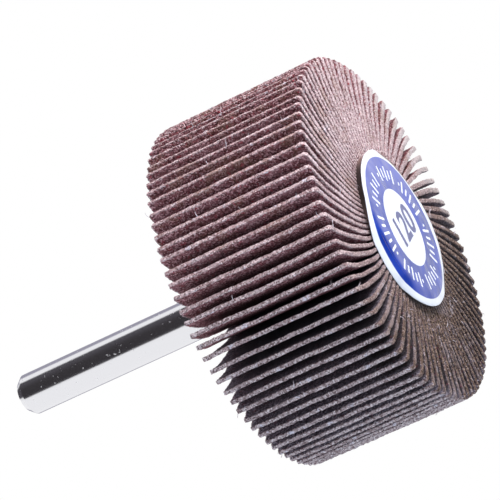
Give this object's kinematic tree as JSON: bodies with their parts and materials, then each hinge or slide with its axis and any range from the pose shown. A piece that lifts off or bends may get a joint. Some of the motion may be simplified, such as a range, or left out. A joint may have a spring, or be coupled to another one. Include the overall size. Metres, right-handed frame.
{
  "type": "flap wheel",
  "caption": "Mounted flap wheel: abrasive cloth flaps trail round a cast hub on a plain round steel shank, with a round label on the hub's front.",
  "frame": {"origin": "on the wheel's axis at the label's face, where the wheel stands", "axes": "+Z along the wheel's axis, from the label face towards the shank's tip"},
  "size_m": [0.054, 0.054, 0.0662],
  "materials": {
    "steel": "polished",
    "resin": "satin",
    "label_paper": "gloss",
    "abrasive_cloth": "matte"
  },
  "bodies": {
    "root": {"flaps_01": "abrasive_cloth", "flaps_02": "abrasive_cloth", "flaps_03": "abrasive_cloth", "flaps_04": "abrasive_cloth", "flaps_05": "abrasive_cloth", "flaps_06": "abrasive_cloth", "flaps_07": "abrasive_cloth", "flaps_08": "abrasive_cloth", "flaps_09": "abrasive_cloth", "flaps_10": "abrasive_cloth", "flaps_11": "abrasive_cloth", "flaps_12": "abrasive_cloth", "flaps_13": "abrasive_cloth", "flaps_14": "abrasive_cloth", "flaps_15": "abrasive_cloth", "flaps_16": "abrasive_cloth", "flaps_17": "abrasive_cloth", "flaps_18": "abrasive_cloth", "flaps_19": "abrasive_cloth", "flaps_20": "abrasive_cloth", "flaps_21": "abrasive_cloth", "flaps_22": "abrasive_cloth", "flaps_23": "abrasive_cloth", "flaps_24": "abrasive_cloth", "flaps_25": "abrasive_cloth", "flaps_26": "abrasive_cloth", "flaps_27": "abrasive_cloth", "flaps_28": "abrasive_cloth", "flaps_29": "abrasive_cloth", "flaps_30": "abrasive_cloth", "flaps_31": "abrasive_cloth", "flaps_32": "abrasive_cloth", "flaps_33": "abrasive_cloth", "flaps_34": "abrasive_cloth", "flaps_35": "abrasive_cloth", "flaps_36": "abrasive_cloth", "flaps_37": "abrasive_cloth", "flaps_38": "abrasive_cloth", "flaps_39": "abrasive_cloth", "flaps_40": "abrasive_cloth", "flaps_41": "abrasive_cloth", "flaps_42": "abrasive_cloth", "flaps_43": "abrasive_cloth", "flaps_44": "abrasive_cloth", "hub": "resin", "label": "label_paper", "shank": "steel"}
  },
  "joints": []
}
